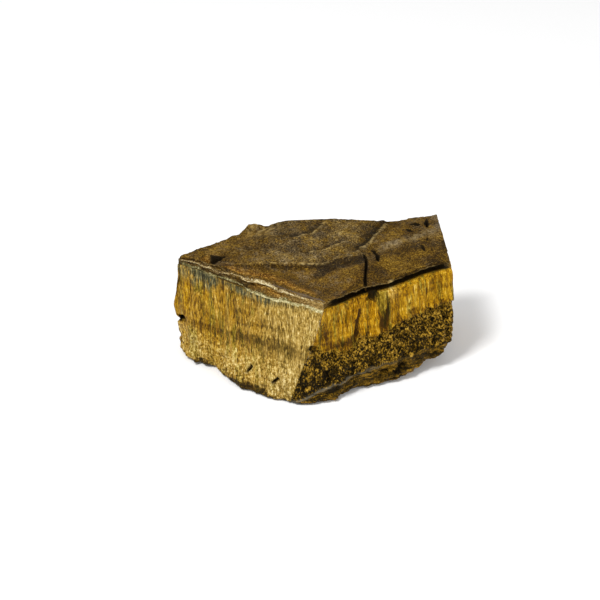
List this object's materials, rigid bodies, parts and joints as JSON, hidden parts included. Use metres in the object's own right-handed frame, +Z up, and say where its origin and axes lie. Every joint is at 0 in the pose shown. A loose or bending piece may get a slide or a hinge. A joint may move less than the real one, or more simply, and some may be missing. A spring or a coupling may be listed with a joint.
{
  "type": "rough tiger's eye stone",
  "caption": "Rough chunk of golden-brown tiger's eye: upright fibre seam with broken faces under a brown ironstone crust, lying flat.",
  "frame": {"origin": "middle of the stone's footprint, on the surface it rests on", "axes": "+Z up; +X along the stone's longest extent, to the right seen from the front corner; -Y towards the front corner"},
  "size_m": [0.0937, 0.063, 0.0413],
  "materials": {
    "tigers_eye": "rough broken stone: silky golden fibres on the fresh faces, dull grainy brown ironstone on top"
  },
  "bodies": {
    "root": {"rough_tigers_eye": "tigers_eye"}
  },
  "joints": []
}
